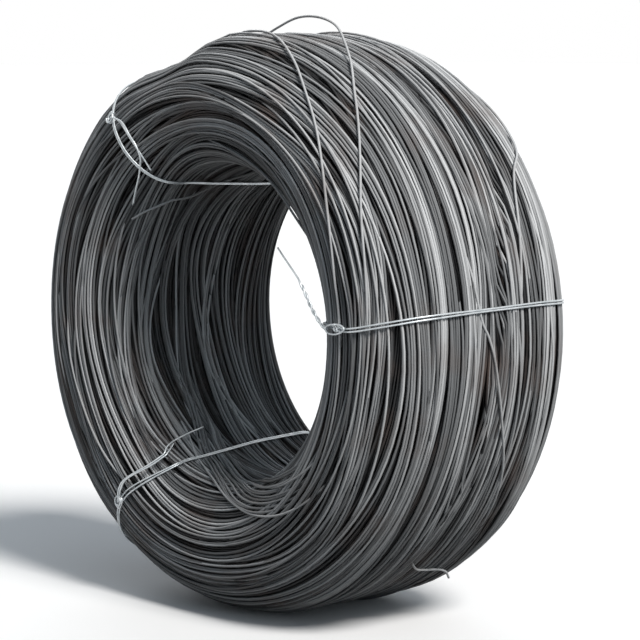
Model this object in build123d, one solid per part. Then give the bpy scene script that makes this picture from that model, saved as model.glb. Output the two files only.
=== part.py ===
"""Coil of wire rod, lying on its side and bound by three doubled tie wires.

The coil's axis runs along Y and its near mouth faces -Y. The origin is at the middle of the
bore. An angle round the coil is counted from +X towards +Z, as seen from the near mouth.
"""
import os
from itertools import cycle
from math import cos, pi, radians, sin

from build123d import *

# Coil
coil_outer_diameter = 1250.0
bore_diameter = 690.0
coil_length = 556.0
shoulder_depth = 147.0
mouth_depth = 100.0
mouth_flare = 125.0
end_face_width = 8.0
rod_diameter = 5.5
turn_gap = 0.5
groove_depth = 1.5
bundle_turns = (5, 8, 4, 7, 3, 6)  # turns in each bundle, in order and then again
bundle_gap_depth = 11.0

# Tie wires
tie_diameter = 4.0
strand_gap = 1.0
tie_clearance = 0.3
eye_radius = 11.0
knot_bite = 1.2

# Angle of each tie, how far in from the end face's outer edge its knot lies, and its tails.
# A tail's points are (in from the end face's outer edge, sideways, above the coil).
ties = {
    "tie_wire_upper_left": (123.3, -53.0, [
        [(-53, -11, 6), (-6, -36, 14), (57, -33, 14), (93, -31, 16)],
        [(-53, 11, 6), (-21, 4, 20), (9, -22, 24), (58, -34, 25), (80, -17, 25), (110, 72, 26)],
    ]),
    "tie_wire_lower_left": (239.8, 4.0, [
        [(4, -11, 6), (25, -31, 14), (50, -34, 16), (100, -6, 20), (133, 0, 22), (157, -12, 24),
         (262, -45, 26)],
    ]),
    "tie_wire_right": (6.2, 31.0, [
        [(31, 11, 6), (59, 22, 16), (75, 48, 26), (79, 102, 44), (122, 163, 62)],
    ]),
}

outer_radius = coil_outer_diameter / 2
bore_radius = bore_diameter / 2
half_length = coil_length / 2
face_inner_radius = bore_radius + mouth_flare
face_outer_radius = face_inner_radius + end_face_width
shoulder_width = outer_radius - face_outer_radius
shoulder_arc = (shoulder_width + shoulder_depth) * pi / 4
mouth_arc = (mouth_flare + mouth_depth) * pi / 4
mouth_end = end_face_width + mouth_arc
outside_middle = shoulder_depth - half_length - shoulder_arc
bore_middle = mouth_end + half_length - mouth_depth


def end_point(along, rise):
    """Radius and axial place, a way in from the end face's outer edge, and above the turns."""
    if along < -shoulder_arc:
        return outer_radius + rise, outside_middle - along
    if along < 0:
        turn = along / shoulder_arc * pi / 2
        return (
            face_outer_radius - (shoulder_width + rise) * sin(turn),
            shoulder_depth - half_length - (shoulder_depth + rise) * cos(turn),
        )
    if along < end_face_width:
        return face_outer_radius - along, -half_length - rise
    turn = min((along - end_face_width) / mouth_arc, 1.0) * pi / 2
    beyond = max(along - mouth_end, 0.0)
    return (
        face_inner_radius - (mouth_flare + rise) * sin(turn),
        mouth_depth - half_length - (mouth_depth + rise) * cos(turn) + beyond,
    )


def surface_point(angle, along, side, rise):
    """A point on or above the near end, sideways from an angle round the coil."""
    radius, axial = end_point(along, rise)
    turn = radians(angle) + side / radius
    return Vector(radius * cos(turn), axial, radius * sin(turn))


def turn_rises(turns):
    """Two heights for each turn, its crest and the groove after it, with a deep gap between bundles."""
    rises = []
    bundles = cycle(bundle_turns)
    left = next(bundles)
    for _ in range(turns):
        if left:
            rises += [0.0, -groove_depth]
            left -= 1
        else:
            rises += [-bundle_gap_depth, -bundle_gap_depth]
            left = next(bundles)
    return [*rises, 0.0]


def wire_coil():
    """The turned ring, with the rod's turns as ridges in bundles all round its section."""
    turns = int((bore_middle - outside_middle) // (rod_diameter + turn_gap))
    rises = turn_rises(turns)
    near = []
    for step, rise in enumerate(rises):
        along = outside_middle + (bore_middle - outside_middle) * step / (2 * turns)
        near.append(end_point(along, rise))
    far = [(radius, -axial) for radius, axial in near[-2:0:-1]]
    section = make_face(Polyline(*near, *far, close=True))
    return revolve(section, Axis.Y)


def tie_route():
    """A strand's closed line round the ring's section, with radius along X and the axis along Y."""
    rise = tie_clearance + tie_diameter / 2
    outside = outer_radius + rise
    inside = bore_radius - rise
    end = half_length + rise
    shoulder_start = half_length - shoulder_depth
    mouth_start = half_length - mouth_depth
    shoulder = (shoulder_width + rise, shoulder_depth + rise)
    mouth = (mouth_flare + rise, mouth_depth + rise)
    return Wire([
        Line((outside, -shoulder_start), (outside, shoulder_start)),
        EllipticalCenterArc((face_outer_radius, shoulder_start), *shoulder, 0, arc_size=90),
        Line((face_outer_radius, end), (face_inner_radius, end)),
        EllipticalCenterArc((face_inner_radius, mouth_start), *mouth, 90, arc_size=90),
        Line((inside, mouth_start), (inside, -mouth_start)),
        EllipticalCenterArc((face_inner_radius, -mouth_start), *mouth, 180, arc_size=90),
        Line((face_inner_radius, -end), (face_outer_radius, -end)),
        EllipticalCenterArc((face_outer_radius, -shoulder_start), *shoulder, 270, arc_size=90),
    ])


def tie_strand(angle, side):
    """One closed strand of a tie, laid round the ring's section."""
    turn = radians(angle)
    meridian = Plane((0, 0, 0), x_dir=(cos(turn), 0, sin(turn)), z_dir=(-sin(turn), 0, cos(turn)))
    route = meridian * Pos(0, 0, side) * tie_route()
    return sweep(Plane(route @ 0, z_dir=route % 0) * Circle(tie_diameter / 2), path=route)


def tie_eye(angle, along):
    """The knot's eye, lying on the two strands and biting into them."""
    rise = tie_clearance + tie_diameter * 1.5 - knot_bite
    centre = surface_point(angle, along, 0.0, rise)
    outwards = centre - surface_point(angle, along, 0.0, 0.0)
    return Plane(centre, z_dir=outwards) * Torus(eye_radius, tie_diameter / 2)


def tie_tail(angle, points):
    """A loose end of a tie, from its eye."""
    route = Spline(*[surface_point(angle, *point) for point in points])
    return sweep(Plane(route @ 0, z_dir=route % 0) * Circle(tie_diameter / 2), path=route)


def tie_wire(angle, knot_along, tails):
    """A tie's two strands, joined by its eye, with its tails."""
    side = (tie_diameter + strand_gap) / 2
    tie = tie_strand(angle, -side) + tie_strand(angle, side) + tie_eye(angle, knot_along)
    for points in tails:
        tie += tie_tail(angle, points)
    return tie


os.makedirs("parts", exist_ok=True)
export_step(wire_coil(), "parts/wire_coil.step")
for name, (angle, knot_along, tails) in ties.items():
    export_step(tie_wire(angle, knot_along, tails), f"parts/{name}.step")
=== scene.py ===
"""Coil of wire rod: its turns, loose strands and tie wires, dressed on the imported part."""
from math import pi, radians

import bpy
import numpy as np
from mathutils import Matrix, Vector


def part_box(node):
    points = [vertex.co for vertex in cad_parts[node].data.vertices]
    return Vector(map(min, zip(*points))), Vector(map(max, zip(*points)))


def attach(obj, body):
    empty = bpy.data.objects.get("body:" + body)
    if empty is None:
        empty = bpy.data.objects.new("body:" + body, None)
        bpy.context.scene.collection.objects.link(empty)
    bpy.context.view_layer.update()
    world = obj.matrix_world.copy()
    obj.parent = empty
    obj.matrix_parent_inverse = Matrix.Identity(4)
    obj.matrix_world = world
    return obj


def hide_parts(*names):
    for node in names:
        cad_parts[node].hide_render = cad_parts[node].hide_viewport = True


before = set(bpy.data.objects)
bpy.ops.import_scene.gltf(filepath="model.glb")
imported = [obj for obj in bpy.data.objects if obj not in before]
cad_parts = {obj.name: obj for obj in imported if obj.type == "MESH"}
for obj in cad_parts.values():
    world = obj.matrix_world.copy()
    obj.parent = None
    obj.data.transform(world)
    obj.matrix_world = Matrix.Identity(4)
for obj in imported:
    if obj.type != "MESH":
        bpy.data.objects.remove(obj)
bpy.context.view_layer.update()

rng = np.random.default_rng(7)
MM = 1000  # millimetres in a metre

# Coil, in metres. A way is measured along the ring's section from the middle of the outside,
# first over the near end, then through the bore and back over the far end.
_, coil_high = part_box("wire_coil")
OUTER = float(coil_high[2])
HALF = float(coil_high[1])
BORE = 0.345
MOUTH_FLARE = 0.125
MOUTH_DEPTH = 0.100
END_FACE = 0.008
SHOULDER_DEPTH = 0.147
SHOULDER_WIDTH = OUTER - BORE - MOUTH_FLARE - END_FACE
ROUNDING_STEPS = 40
ROD = 0.0055

# Tie wires, in metres, and the way where the near end leaves the outside.
TIE = 0.0040
TIE_CLEARANCE = 0.0003
NEAR_END = HALF - SHOULDER_DEPTH


def section_line():
    """The ring's closed section: way, radius, axial place and outward normal at each point."""
    turn = np.linspace(0.0, pi / 2, ROUNDING_STEPS)
    c, s = np.cos(turn), np.sin(turn)
    shoulder = np.hypot(c / SHOULDER_WIDTH, s / SHOULDER_DEPTH)
    mouth = np.hypot(s / MOUTH_FLARE, c / MOUTH_DEPTH)
    radius = [[OUTER], OUTER - SHOULDER_WIDTH * (1 - c), BORE + MOUTH_FLARE * (1 - s), [BORE]]
    axial = [[0.0], SHOULDER_DEPTH * (1 - s) - HALF, MOUTH_DEPTH * (1 - c) - HALF, [0.0]]
    out_radial = [[1.0], c / SHOULDER_WIDTH / shoulder, -s / MOUTH_FLARE / mouth, [-1.0]]
    out_axial = [[0.0], -s / SHOULDER_DEPTH / shoulder, -c / MOUTH_DEPTH / mouth, [0.0]]
    near = np.stack([np.concatenate(row) for row in (radius, axial, out_radial, out_axial)])
    far = near[:, -2::-1] * np.array([[1.0], [-1.0], [1.0], [-1.0]])
    line = np.concatenate([near, far], 1)
    way = np.concatenate([[0.0], np.cumsum(np.hypot(*np.diff(line[:2])))])
    return way, line


LINE_WAY, LINE = section_line()
SECTION = float(LINE_WAY[-1])

# The slump beside the upper left tie: its middle and spread round the coil, its depth in metres, and ways
# with the share of that depth there.
SLUMP_ANGLE = radians(108)
SLUMP_SPREAD = radians(16)
SLUMP_DEPTH = 0.026
SLUMP_REACH = ([-0.20, 0.0, 0.20, 0.36], [0.0, 1.0, 1.0, 0.0])


def slump(angle, way):
    """How far the turns have settled beside the upper left tie, where they lie flatter."""
    round_share = np.clip((np.mod(angle, 2 * pi) - SLUMP_ANGLE) / SLUMP_SPREAD, -1.0, 1.0)
    way_share = np.interp(np.mod(way + SECTION / 2, SECTION) - SECTION / 2, *SLUMP_REACH)
    return SLUMP_DEPTH * np.cos(pi / 2 * round_share) ** 2 * np.sin(pi / 2 * way_share) ** 2


def ring_points(angle, way, lift):
    """Points above the ring's surface, and the outward normals there."""
    lift = lift - slump(angle, way)
    radius, axial, out_radial, out_axial = (
        np.interp(np.mod(way, SECTION), LINE_WAY, row) for row in LINE
    )
    radius = radius + lift * out_radial
    axial = axial + lift * out_axial
    c, s = np.cos(angle), np.sin(angle)
    points = np.stack(np.broadcast_arrays(radius * c, axial, radius * s), -1)
    normals = np.stack(np.broadcast_arrays(out_radial * c, out_axial, out_radial * s), -1)
    return points, normals


def unit(vectors):
    """The same directions, each of length 1."""
    return vectors / np.linalg.norm(vectors, axis=-1, keepdims=True)


def wire_mesh(points, normals, diameter, sides, closed):
    """Round wires along many lines at once. Lines run (line, step, xyz)."""
    lines, steps, _ = points.shape
    ahead = np.roll(points, -1, 1) - np.roll(points, 1, 1)
    if not closed:
        ahead[:, 0] = points[:, 1] - points[:, 0]
        ahead[:, -1] = points[:, -1] - points[:, -2]
    ahead = unit(ahead)
    across = unit(np.cross(ahead, normals))
    up = np.cross(across, ahead)
    turn = 2 * pi * np.arange(sides) / sides
    spokes = np.cos(turn)[:, None] * up[:, :, None] + np.sin(turn)[:, None] * across[:, :, None]
    vertices = points[:, :, None] + spokes * diameter / 2
    index = np.arange(lines * steps * sides).reshape(lines, steps, sides)
    here = index if closed else index[:, :-1]
    there = np.roll(index, -1, 1) if closed else index[:, 1:]
    corners = [here, np.roll(here, -1, 2), np.roll(there, -1, 2), there]
    faces = np.stack(corners, -1).reshape(-1, 4).tolist()
    if not closed:
        faces += index[:, 0, ::-1].tolist() + index[:, -1].tolist()
    return vertices.reshape(-1, 3), faces


def one_wire(line, normals, diameter, sides, closed=False):
    """A round wire along one line."""
    return wire_mesh(line[None], normals[None], diameter, sides, closed)


def wire_piece(name, parts, tints, material):
    """One piece from several sets of wires, each wire with its own tone, which on the lower turns holds
    painted shade.
    """
    vertices = []
    faces = []
    shades = []
    count = 0
    for (part_vertices, part_faces), tone_and_painted_shade in zip(parts, tints):
        vertices.append(part_vertices)
        faces += [[corner + count for corner in face] for face in part_faces]
        shades.append(np.repeat(tone_and_painted_shade, len(part_vertices) // len(tone_and_painted_shade)))
        count += len(part_vertices)
    mesh = bpy.data.meshes.new(name)
    mesh.from_pydata(np.concatenate(vertices).tolist(), [], faces)
    mesh.shade_smooth()
    # Each wire's tone, which on the lower turns is painted shade.
    shade = mesh.attributes.new("tone_and_painted_shade", "FLOAT", "POINT")
    shade.data.foreach_set("value", np.concatenate(shades).astype(np.float32))
    mesh.materials.append(material)
    piece = bpy.data.objects.new(name, mesh)
    bpy.context.scene.collection.objects.link(piece)
    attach(piece, "root")
    return piece


def smooth_line(points, steps):
    """A smooth line through given points."""
    points = np.asarray(points, float)
    padded = np.concatenate([[2 * points[0] - points[1]], points, [2 * points[-1] - points[-2]]])
    spans = np.linspace(0, len(points) - 1, steps)
    first = np.minimum(spans.astype(int), len(points) - 2)
    t = (spans - first)[:, None]
    p0, p1, p2, p3 = (padded[first + k] for k in range(4))
    return 0.5 * (2 * p1 + (p2 - p0) * t + (2 * p0 - 5 * p1 + 4 * p2 - p3) * t**2
                  + (3 * p1 - p0 - 3 * p2 + p3) * t**3)


# Finishes: colours by tone (with painted shade on the lower turns) or mottle, noise as (scale, detail),
# roughness from and to, pits in metres.
SCALE_TONES = [(0.0, (0.010, 0.010, 0.011)), (0.5, (0.225, 0.230, 0.235)), (1.0, (0.630, 0.635, 0.640))]
SCALE_GRAIN = (420.0, 3.0)
SCALE_DULLNESS = (0.30, 0.50)
SCALE_PITS = 0.0003
SCALE_SHEEN = 0.15
RUST_COLOUR = (0.150, 0.104, 0.085, 1)
RUST_PATCHES = (9.0, 6.0)
RUST_SPREAD = [(0.50, (0, 0, 0)), (0.80, (0.5, 0.5, 0.5))]
ZINC_TONES = [(0.3, (0.46, 0.50, 0.52)), (0.7, (0.70, 0.73, 0.75))]
ZINC_MOTTLE = (60.0, 4.0)
ZINC_DULLNESS = (0.30, 0.42)
ZINC_PITS = 0.0002
ZINC_METAL = 0.6
PIT_STRENGTH = 0.4


def shader_of(name):
    """A new material with its nodes, links and shader."""
    material = bpy.data.materials.new(name)
    material.use_nodes = True
    nodes, links = material.node_tree.nodes, material.node_tree.links
    return material, nodes, links, nodes["Principled BSDF"]


def ramp(nodes, stops):
    """A colour ramp from (position, colour) stops."""
    node = nodes.new("ShaderNodeValToRGB")
    elements = node.color_ramp.elements
    for element, (position, colour) in zip(elements, (stops[0], stops[-1])):
        element.position = position
        element.color = (*colour, 1)
    for position, colour in stops[1:-1]:
        elements.new(position).color = (*colour, 1)
    return node


def noise(nodes, links, place, scale, detail):
    """Noise on the piece's own coordinates."""
    node = nodes.new("ShaderNodeTexNoise")
    node.inputs["Scale"].default_value = scale
    node.inputs["Detail"].default_value = detail
    links.new(place.outputs["Object"], node.inputs["Vector"])
    return node


def dull_and_pitted(nodes, links, shader, grain, dullness, depth):
    """Roughness between two values, and pits of a depth, that follow one grain."""
    roughness = nodes.new("ShaderNodeMapRange")
    for limit, value in zip(("To Min", "To Max"), dullness):
        roughness.inputs[limit].default_value = value
    links.new(grain.outputs["Fac"], roughness.inputs["Value"])
    links.new(roughness.outputs["Result"], shader.inputs["Roughness"])
    pits = nodes.new("ShaderNodeBump")
    pits.inputs["Strength"].default_value = PIT_STRENGTH
    pits.inputs["Distance"].default_value = depth
    links.new(grain.outputs["Fac"], pits.inputs["Height"])
    links.new(pits.outputs["Normal"], shader.inputs["Normal"])


def mill_scale():
    """Dark scale on hot rolled rod: each turn has its own tone, darker on the lower layers as painted shade,
    with rust in patches.
    """
    material, nodes, links, shader = shader_of("mill_scale")
    place = nodes.new("ShaderNodeTexCoord")
    tone_and_painted_shade = nodes.new("ShaderNodeAttribute")
    tone_and_painted_shade.attribute_name = "tone_and_painted_shade"
    tone = ramp(nodes, SCALE_TONES)
    links.new(tone_and_painted_shade.outputs["Fac"], tone.inputs["Fac"])
    patches = noise(nodes, links, place, *RUST_PATCHES)
    rust_spread = ramp(nodes, RUST_SPREAD)
    links.new(patches.outputs["Fac"], rust_spread.inputs["Fac"])
    rust = nodes.new("ShaderNodeMix")
    rust.data_type = "RGBA"
    rust.inputs["B"].default_value = RUST_COLOUR
    links.new(rust_spread.outputs["Color"], rust.inputs["Factor"])
    links.new(tone.outputs["Color"], rust.inputs["A"])
    links.new(rust.outputs["Result"], shader.inputs["Base Color"])
    grain = noise(nodes, links, place, *SCALE_GRAIN)
    dull_and_pitted(nodes, links, shader, grain, SCALE_DULLNESS, SCALE_PITS)
    shader.inputs["Specular IOR Level"].default_value = SCALE_SHEEN
    return material


def galvanised():
    """Bright zinc with a faint blue cast and a dull mottle."""
    material, nodes, links, shader = shader_of("galvanised")
    place = nodes.new("ShaderNodeTexCoord")
    mottle = noise(nodes, links, place, *ZINC_MOTTLE)
    tone = ramp(nodes, ZINC_TONES)
    links.new(mottle.outputs["Fac"], tone.inputs["Fac"])
    links.new(tone.outputs["Color"], shader.inputs["Base Color"])
    dull_and_pitted(nodes, links, shader, mottle, ZINC_DULLNESS, ZINC_PITS)
    shader.inputs["Metallic"].default_value = ZINC_METAL
    return material


scale_finish = mill_scale()
zinc_finish = galvanised()

# Turns of the coil. Sideways waves and rises are in metres, for one wave round the coil, two and so on.
SHARED_WANDER = (0.010, 0.008, 0.005)
BUNDLE_WAVER = (0.006, 0.007, 0.006, 0.005, 0.004)
TURN_WAVER = (0.0016, 0.0014, 0.0012, 0.001, 0.001)
BUNDLE_RISE = (0.0014, 0.0010)
TURN_RISE = (0.0008, 0.0006, 0.0005)
DEEPEST_BED = 0.0035
TIGHTEST = 1.05  # rod diameters from turn to turn
MOST_WAVES = 7  # waves of the shared wander along the section
LOOSER_ON_TOP = 0.9

# The valley is a dark parting on the right of the outside: its line in degrees and ways, how far turns part,
# how soft its edge is, how far off turns still part, and its spread round the coil.
VALLEY = (
    [-60, -35, -26, -14, -6, 8, 17, 27, 38, 70],
    [0.050, 0.028, 0.018, 0.009, 0.003, -0.018, -0.046, -0.074, -0.114, -0.16],
)
VALLEY_WIDTH = 0.012
VALLEY_EDGE = 0.004
VALLEY_REACH = 0.045
VALLEY_SPREAD = radians(36)


def bundled_ways(least, most, loosest, gap):
    """Each turn's way and bundle: turns lie side by side in bundles, with gaps between them."""
    ways = []
    bundles = []
    way = 0.0
    bundle = 0
    while way < SECTION - ROD:
        for _ in range(rng.integers(least, most + 1)):
            ways.append(way)
            bundles.append(bundle)
            way += ROD * rng.uniform(TIGHTEST, loosest)
        way += ROD * rng.uniform(0.0, gap)
        bundle += 1
    return np.array(ways), np.array(bundles)


def waver(count, sizes, angles):
    """Waves round the coil, a set of its own for each line."""
    field = np.zeros((count, len(angles)))
    for lobes, size in enumerate(sizes, 1):
        phase = rng.uniform(0, 2 * pi, (count, 1))
        height = rng.normal(0, size, (count, 1))
        field += height * np.sin(lobes * angles + phase)
    return field


def shared_wander(ways, sizes, angles):
    """A sideways field that neighbouring turns share, stronger where they lie loose on top."""
    field = np.zeros((len(ways), len(angles)))
    for lobes, size in enumerate(sizes, 1):
        waves = rng.integers(-MOST_WAVES, MOST_WAVES + 1)
        phase = rng.uniform(0, 2 * pi)
        field += size * np.sin(lobes * angles + 2 * pi * waves * ways[:, None] / SECTION + phase)
    return field * (1.0 + LOOSER_ON_TOP * np.clip(np.sin(angles), 0.0, 1.0) ** 2)


def part_at_valley(way, angles):
    """Turns stand apart along the valley."""
    from_right = np.mod(angles + pi, 2 * pi) - pi
    beyond = way - np.interp(np.degrees(from_right), *VALLEY)
    beyond = np.mod(beyond + SECTION / 2, SECTION) - SECTION / 2
    strength = VALLEY_WIDTH * np.exp(-((from_right / VALLEY_SPREAD) ** 4))
    return way + strength * np.tanh(beyond / VALLEY_EDGE) * np.exp(-((beyond / VALLEY_REACH) ** 2))


def turn_layer(name, bundle, depth, lean, tones_with_painted_shade, steps, sides, diameter=ROD):
    """One layer of the coil's turns, in bundles that lean across each other."""
    angles = 2 * pi * np.arange(steps) / steps
    ways, bundles = bundled_ways(*bundle)
    count = bundles[-1] + 1
    way = ways[:, None] + shared_wander(ways, SHARED_WANDER, angles)
    way = way + lean * waver(count, BUNDLE_WAVER, angles)[bundles]
    way = way + waver(len(ways), TURN_WAVER, angles)
    way = part_at_valley(way, angles)
    bedded = rng.uniform(0.0, DEEPEST_BED, (count, 1)) + waver(count, BUNDLE_RISE, angles)
    sunk = depth + bedded[bundles] + waver(len(ways), TURN_RISE, angles)
    points, normals = ring_points(angles, way, -np.maximum(sunk, ROD / 2))
    wires = wire_mesh(points, normals, diameter, sides, True)
    # Tints from the layer's range; the darker ranges of the lower layers are painted shade.
    tints = rng.uniform(*tones_with_painted_shade, len(ways))
    return wire_piece(name, [wires], [tints], scale_finish)


# Layers from the outside in: the bundle (fewest and most turns, then the loosest spacing and the widest gap
# in rod diameters), depth in metres, lean, tints from and to, steps round the coil, and sides of a wire.
# The darker tints of the lower layers are painted shade, for the shade under the turns above them.
# The lowest turns are thicker and lie into each other, so that nothing shows through between them.
LOWEST_WIRE = 2.2 * ROD
outer_turns = turn_layer("outer_turns", (3, 7, 1.40, 1.7), 0.0030, 1.0, (0.2, 1.0), 96, 5)
turn_layer("second_turns", (2, 6, 2.2, 1.8), 0.0080, 1.0, (0.0, 0.2), 100, 6)
turn_layer("third_turns", (4, 9, 1.3, 1.0), 0.0130, 0.6, (0.0, 0.08), 80, 4)
turn_layer("fourth_turns", (20, 40, 1.6, 0.3), 0.0215, 0.3, (0.0, 0.05), 72, 4, LOWEST_WIRE)
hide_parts("wire_coil")

# Ties: the angle in degrees round the coil, and the rest in millimetres. The knot has its place along and its
# eye's reach and width. The strands have their sideways wander and their distance apart, as (along, value).
# Tails are points (along, sideways, lift). Along counts inwards over the near end from the outside.
TIES = {
    "tie_wire_upper_left": {
        "angle": 123.3,
        "knot": 178,
        "eye": (12, 11),
        "wander": [(60, 8), (178, 10), (236, 7), (277, 3), (314, -2), (360, -10), (418, -26), (495, -16),
                   (640, -4)],
        "apart": [(0, 4.3), (600, 4.3)],
        "tails": [
            [(182, 0, 8), (216, -31, 13), (256, -41, 13), (286, -42, 12), (312, -38, 12), (333, -32, 14)],
            [(182, 4, 10), (219, -40, 17), (255, -49, 18), (279, -51, 19), (300, -43, 21), (313, -26, 22),
             (329, 8, 23), (349, 72, 24)],
        ],
        "twisted_tails": [],
    },
    "tie_wire_lower_left": {
        "angle": 239.8,
        "knot": 222,
        "eye": (12, 11),
        "wander": [(40, -8), (150, -24), (232, -26), (278, -6), (313, 13), (369, 33), (462, 22), (625, -4),
                   (768, -14)],
        "apart": [(0, 5.0), (225, 7.0), (250, 11.0), (280, 10.0), (313, 7.5), (369, 4.6), (480, 4.3)],
        "tails": [
            [(222, -27, 10), (250, -33, 14), (275, -32, 14), (331, -4, 18), (364, 1, 20), (373, -2, 22),
             (388, -14, 24), (440, -32, 25), (493, -45, 26)],
            [(222, -22, 11), (254, -28, 14), (280, -27, 15), (333, 2, 19), (364, 7, 21), (377, 3, 22),
             (396, -13, 22)],
        ],
        "twisted_tails": [],
    },
    "tie_wire_right": {
        "angle": 6.2,
        "knot": 258,
        "eye": (29, 10),
        "wander": [(-260, 8), (-83, 4), (5, 2), (71, -1), (130, -7), (216, -16), (250, -14), (289, -3),
                   (420, 0)],
        "apart": [(-255, 5.6), (-120, 4.2), (-60, 4.2), (20, 6.4), (180, 7.4), (240, 6.0), (290, 4.3),
                  (600, 4.3)],
        "tails": [],
        "twisted_tails": [
            [(287, -12, 10), (309, 6, 16), (316, 31, 26), (316, 60, 34), (325, 94, 41), (338, 123, 49),
             (365, 166, 62)],
        ],
    },
}

# Loose strands: listed points, as degrees round the coil, way and lift in millimetres.
LOOSE_STRANDS = [
    [(98, 40, -12), (92, 36, 10), (86, 34, 34), (80, 36, 43), (74, 46, 40), (69, 64, 21), (64, 90, 7),
     (52, 171, 3), (31, 267, 3), (15, 300, 2), (0, 318, -12)],
    [(122, 82, -12), (105, 95, 2), (87, 126, 4), (69, 199, 4), (60, 238, 4), (51, 272, 3), (33, 340, 3),
     (16, 378, 2), (0, 395, -12)],
    [(82, -275, -12), (62, -250, 2), (41, -204, 4), (32, -133, 4), (20, -95, 2), (2, -70, -12)],
    [(28, 78, -12), (7, 48, 2), (1, 23, 3), (-7, -2, 3), (-15, -31, 3), (-28, -83, 2), (-46, -128, -12)],
    [(143, 494, 5), (136, 518, 8), (131, 550, 9), (128, 627, 8), (112, 730, -2)],
    [(-48, 40, -12), (-52, 0, 2), (-53.5, -40, 3), (-54, -80, 5), (-54.5, -105, 11), (-55.5, -118, 22)],
]
CHOSEN_STEPS = 60
CHOSEN_SIDES = 6
CHOSEN_TINT = 0.85

# Strays lie anywhere: degrees round the coil, ways and lifts in millimetres. The bed is how much lower each
# of their five points lies, and their ends sink into the coil.
STRAYS = 70
STRAY_REACH = (60, 190)
STRAY_WAY = (-260, 560)
STRAY_DRIFT = 45
STRAY_LIFT = (0.5, 3.0)
STRAY_BED = np.array([0.0, 3.0, 2.0, 3.0, 0.0])
STRAY_END = -22.0
STRAY_STEPS = 48
STRAY_SIDES = 5
STRAY_TINTS = (0.3, 0.9)

# Strands that slant out of the bore and over its lower lip all follow one line, each a little way off it in
# turn, way and lift. They share the steps, sides and tints of strays.
LIP_STRAND = [
    (205, 672, -22), (226, 660, -1), (241, 634, 1), (260, 590, 4), (280, 530, 4), (296, 472, 3),
    (310, 430, 1), (328, 396, -22),
]
LIP_STRANDS = 16
LIP_TURN = 9
LIP_SHIFT = 26
LIP_LIFT = (-1.5, 2.5)

# Ties hold loose strands down: how far to each side in degrees, and to which lift in millimetres.
HELD_SPREAD = 7.0
HELD_LIFT = -2.6


def strand_along(points, steps):
    """A strand's line, held down under the ties and pressed flat where the coil stands on it."""
    angle, way, lift = smooth_line(points, steps).T
    for tie in TIES.values():
        aside = np.mod(angle - tie["angle"] + 180, 360) - 180
        lift = lift - np.exp(-((aside / HELD_SPREAD) ** 4)) * np.maximum(lift - HELD_LIFT, 0.0)
    line, normals = ring_points(np.radians(angle), way / MM, lift / MM)
    line[:, 2] = np.maximum(line[:, 2], ROD / 2 - OUTER)
    return line, normals


def loose_strands():
    """Strands that cross the others: chosen ones, strays, and those over the bore's lower lip."""
    parts = []
    for points in LOOSE_STRANDS:
        parts.append(one_wire(*strand_along(points, CHOSEN_STEPS), ROD, CHOSEN_SIDES))
    share = np.linspace(0, 1, len(STRAY_BED))
    for _ in range(STRAYS):
        start = rng.uniform(0, 360)
        reach = rng.uniform(*STRAY_REACH)
        way = rng.uniform(*STRAY_WAY)
        drift = rng.normal(0, STRAY_DRIFT)
        rise = rng.uniform(*STRAY_LIFT) - STRAY_BED
        rise[[0, -1]] = STRAY_END
        points = np.stack([start + reach * share, way + drift * share, rise], 1)
        parts.append(one_wire(*strand_along(points, STRAY_STEPS), ROD, STRAY_SIDES))
    for _ in range(LIP_STRANDS):
        angle, way, lift = np.array(LIP_STRAND).T
        angle = angle + rng.normal(0, LIP_TURN)
        way = way + rng.normal(0, LIP_SHIFT)
        points = np.stack([angle, way, lift + rng.uniform(*LIP_LIFT)], 1)
        parts.append(one_wire(*strand_along(points, STRAY_STEPS), ROD, STRAY_SIDES))
    tints = rng.uniform(*STRAY_TINTS, (len(parts), 1))
    tints[:len(LOOSE_STRANDS)] = CHOSEN_TINT
    wire_piece("loose_strands", parts, tints, scale_finish)


loose_strands()

# Ties: sides of a wire, steps round the section, steps that a corner is smoothed over, and steps of a tail.
TIE_SIDES = 8
STRAND_STEPS = 240
EASED_STEPS = 9
TAIL_STEPS = 60

# A knot's eye: its turns, and in millimetres its lift and how much it climbs in half a turn. The wrap that
# closes it lies from and to these places about the knot, with its lift and radius in tie diameters.
EYE_TURNS = 1.3
EYE_LIFT = 6.5
EYE_CLIMB = 2.2
WRAP_PLACE = (-16, 6)
WRAP_LIFT = 0.9
WRAP_RADIUS = 1.25
WRAP_TURNS = 2.5
WRAP_START = 0.6
KNOT_STEPS = 60

# A twisted tail: its steps, the turns of the twist, the steps where it opens and is straight, and where the
# shorter of its two strands ends.
TWIST_STEPS = 120
TWIST_TURNS = 5.0
TWIST_OPENS = 66
TWIST_STRAIGHT = 84
SHORTER_END = 72


def tie_line(degrees, along, side, lift):
    """Points on a tie, sideways from its angle round the coil."""
    way = NEAR_END + np.asarray(along, float) / MM
    points, _ = ring_points(0.0, way, np.asarray(lift) / MM)
    angle = radians(degrees) + np.asarray(side, float) / MM / points[..., 0]
    return ring_points(angle, way, np.asarray(lift) / MM)


def eased(along, chosen):
    """Values between chosen ones, all the way round the section, with the corners smoothed."""
    places, values = np.array(chosen, float).T
    line = np.interp(along, places, values, period=MM * SECTION)
    half = EASED_STEPS // 2
    padded = np.concatenate([line[-half:], line, line[:half]])
    return np.convolve(padded, np.ones(EASED_STEPS) / EASED_STEPS, "valid")


def tie_strands(tie):
    """The two strands of a tie, side by side round the ring's section and nowhere quite parallel."""
    along = MM * (SECTION * np.arange(STRAND_STEPS) / STRAND_STEPS - NEAR_END)
    middle = eased(along, tie["wander"])
    apart = eased(along, tie["apart"]) / 2
    lift = np.full(STRAND_STEPS, MM * (TIE_CLEARANCE + TIE / 2))
    parts = []
    for hand in (-1, 1):
        line, normals = tie_line(tie["angle"], along, middle + hand * apart, lift)
        parts.append(one_wire(line, normals, TIE, TIE_SIDES, True))
    return parts


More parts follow.
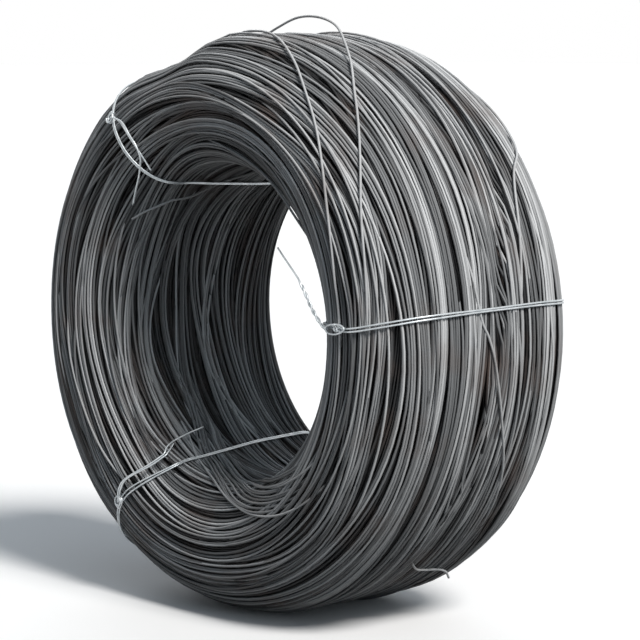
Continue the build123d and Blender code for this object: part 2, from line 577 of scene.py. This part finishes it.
def wound_on(points, normals, radius, turns, phase):
    """A line wound round another one."""
    ahead = unit(np.gradient(points, axis=0))
    across = unit(np.cross(ahead, normals))
    up = np.cross(across, ahead)
    angle = np.linspace(0, 2 * pi * turns, len(points)) + phase
    spoke = np.cos(angle)[:, None] * up + np.sin(angle)[:, None] * across
    return points + radius * spoke, spoke


def tie_knot(tie):
    """An open eye that lies on the strands, and the short wrap that closes it."""
    degrees, knot = tie["angle"], tie["knot"]
    reach, width = tie["eye"]
    side = np.interp(knot, *np.array(tie["wander"], float).T)
    turn = np.linspace(0, 2 * pi * EYE_TURNS, KNOT_STEPS)
    lift = EYE_LIFT + EYE_CLIMB * turn / pi
    eye = tie_line(degrees, knot + reach * np.cos(turn), side + width * np.sin(turn), lift)
    start, end = WRAP_PLACE
    along = np.linspace(knot + start, knot + end, KNOT_STEPS)
    lift = np.full(KNOT_STEPS, MM * TIE * WRAP_LIFT)
    core, normals = tie_line(degrees, along, np.full(KNOT_STEPS, side), lift)
    wrap = wound_on(core, normals, TIE * WRAP_RADIUS, WRAP_TURNS, WRAP_START)
    return [one_wire(*eye, TIE, TIE_SIDES), one_wire(*wrap, TIE, TIE_SIDES)]


def twisted_tail(degrees, points):
    """Two strands twisted together, the longer one straight past the twist."""
    core, normals = tie_line(degrees, *smooth_line(points, TWIST_STEPS).T)
    opening = np.interp(np.arange(TWIST_STEPS), [0, TWIST_OPENS, TWIST_STRAIGHT], [1, 1, 0])
    radius = TIE / 2 * opening[:, None]
    parts = []
    for phase, end in ((0.0, TWIST_STEPS), (pi, SHORTER_END)):
        strand, spokes = wound_on(core, normals, radius, TWIST_TURNS, phase)
        parts.append(one_wire(strand[:end], spokes[:end], TIE, TIE_SIDES))
    return parts


def tie_piece(name, tie):
    """A tie wire with its strands, knot and tails."""
    parts = tie_strands(tie) + tie_knot(tie)
    for points in tie["tails"]:
        line, normals = tie_line(tie["angle"], *smooth_line(points, TAIL_STEPS).T)
        parts.append(one_wire(line, normals, TIE, TIE_SIDES))
    for points in tie["twisted_tails"]:
        parts += twisted_tail(tie["angle"], points)
    piece = wire_piece("bright_" + name, parts, [np.ones(1)] * len(parts), zinc_finish)
    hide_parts(name)


for name, tie in TIES.items():
    tie_piece(name, tie)

# Camera, at the photograph's angle: place in metres, angles in degrees, lens and frame in millimetres.
CAMERA_PLACE = (4.278, -3.697, 0.6075)
CAMERA_AZIMUTH = 48.62
CAMERA_ELEVATION = 6.14
CAMERA_ROLL = 0.14
CAMERA_LENS = 145.92
CAMERA_FRAME = 36.0
CAMERA_SIGHT = 200.0

camera = bpy.data.objects.new("camera", bpy.data.cameras.new("camera"))
camera.data.lens = CAMERA_LENS
camera.data.sensor_width = CAMERA_FRAME
camera.data.clip_end = CAMERA_SIGHT
camera.matrix_world = (
    Matrix.Translation(CAMERA_PLACE)
    @ Matrix.Rotation(radians(CAMERA_AZIMUTH), 4, "Z")
    @ Matrix.Rotation(radians(90.0 - CAMERA_ELEVATION), 4, "X")
    @ Matrix.Rotation(radians(CAMERA_ROLL), 4, "Z")
)
bpy.context.scene.collection.objects.link(camera)
bpy.context.scene.camera = camera

# Floor: its size and the gap under the coil in metres, its colour as light meets it and as it is seen.
FLOOR_SIZE = 200
FLOOR_GAP = 0.001
FLOOR_LIT = (0.05, 0.05, 0.05, 1)
FLOOR_SEEN = (0.95, 0.95, 0.95, 1)
FLOOR_DULLNESS = 0.9

# Sky: the direction of its bright side, and its tones from abreast of that side (0) to straight at it (1).
BRIGHT_SIDE = (0.5, -0.1, 0.86)
SKY_TONES = [(0.0, (0.03, 0.036, 0.042)), (0.5, (0.09, 0.11, 0.13)), (1.0, (0.30, 0.35, 0.40))]
WHITE = (1, 1, 1, 1)


def looked_at(nodes, links):
    """1 for camera, glossy and transmission rays, else 0."""
    path = nodes.new("ShaderNodeLightPath")
    result = path.outputs["Is Camera Ray"]
    for ray in ("Is Glossy Ray", "Is Transmission Ray"):
        either = nodes.new("ShaderNodeMath")
        either.operation = "MAXIMUM"
        links.new(result, either.inputs[0])
        links.new(path.outputs[ray], either.inputs[1])
        result = either.outputs[0]
    return result


def pale_floor():
    """A pale floor that gives the underside little light."""
    bpy.ops.object.select_all(action="DESELECT")
    bpy.ops.mesh.primitive_plane_add(size=FLOOR_SIZE, location=(0, 0, -OUTER - FLOOR_GAP))
    floor = bpy.context.object
    floor.name = "floor"
    material, nodes, links, shader = shader_of("pale_floor")
    tone = nodes.new("ShaderNodeMix")
    tone.data_type = "RGBA"
    tone.inputs["A"].default_value = FLOOR_LIT
    tone.inputs["B"].default_value = FLOOR_SEEN
    links.new(looked_at(nodes, links), tone.inputs["Factor"])
    links.new(tone.outputs["Result"], shader.inputs["Base Color"])
    shader.inputs["Roughness"].default_value = FLOOR_DULLNESS
    floor.data.materials.append(material)


def surroundings():
    """White to look at, and a soft sky to light by, which fades away from its bright side."""
    world = bpy.data.worlds.new("surroundings")
    bpy.context.scene.world = world
    world.use_nodes = True
    nodes, links = world.node_tree.nodes, world.node_tree.links
    background = nodes["Background"]
    sky = nodes.new("ShaderNodeTexCoord")
    towards = nodes.new("ShaderNodeVectorMath")
    towards.operation = "DOT_PRODUCT"
    towards.inputs[1].default_value = BRIGHT_SIDE
    links.new(sky.outputs["Generated"], towards.inputs[0])
    fade = ramp(nodes, SKY_TONES)
    links.new(towards.outputs["Value"], fade.inputs["Fac"])
    level = nodes.new("ShaderNodeMix")
    level.data_type = "RGBA"
    level.inputs["B"].default_value = WHITE
    links.new(looked_at(nodes, links), level.inputs["Factor"])
    links.new(fade.outputs["Color"], level.inputs["A"])
    links.new(level.outputs["Result"], background.inputs["Color"])


def lamp(name, energy, colour, spread, tilt, heading):
    """A far lamp: spread, tilt from straight overhead, and heading as the camera's azimuth, in degrees."""
    light = bpy.data.objects.new(name, bpy.data.lights.new(name, "SUN"))
    light.data.energy = energy
    light.data.color = colour
    light.data.angle = radians(spread)
    light.matrix_world = (
        Matrix.Rotation(radians(heading), 4, "Z") @ Matrix.Rotation(radians(tilt), 4, "X")
    )
    bpy.context.scene.collection.objects.link(light)


pale_floor()
surroundings()
lamp("overhead", 3.5, (1.0, 0.975, 0.945), 18, 44, 84)
lamp("right", 0.30, (0.80, 0.92, 1.0), 40, 72, 64)
lamp("rear", 0.7, (0.92, 0.96, 1.0), 40, 60, 228)
bpy.context.scene.view_settings.view_transform = "Standard"
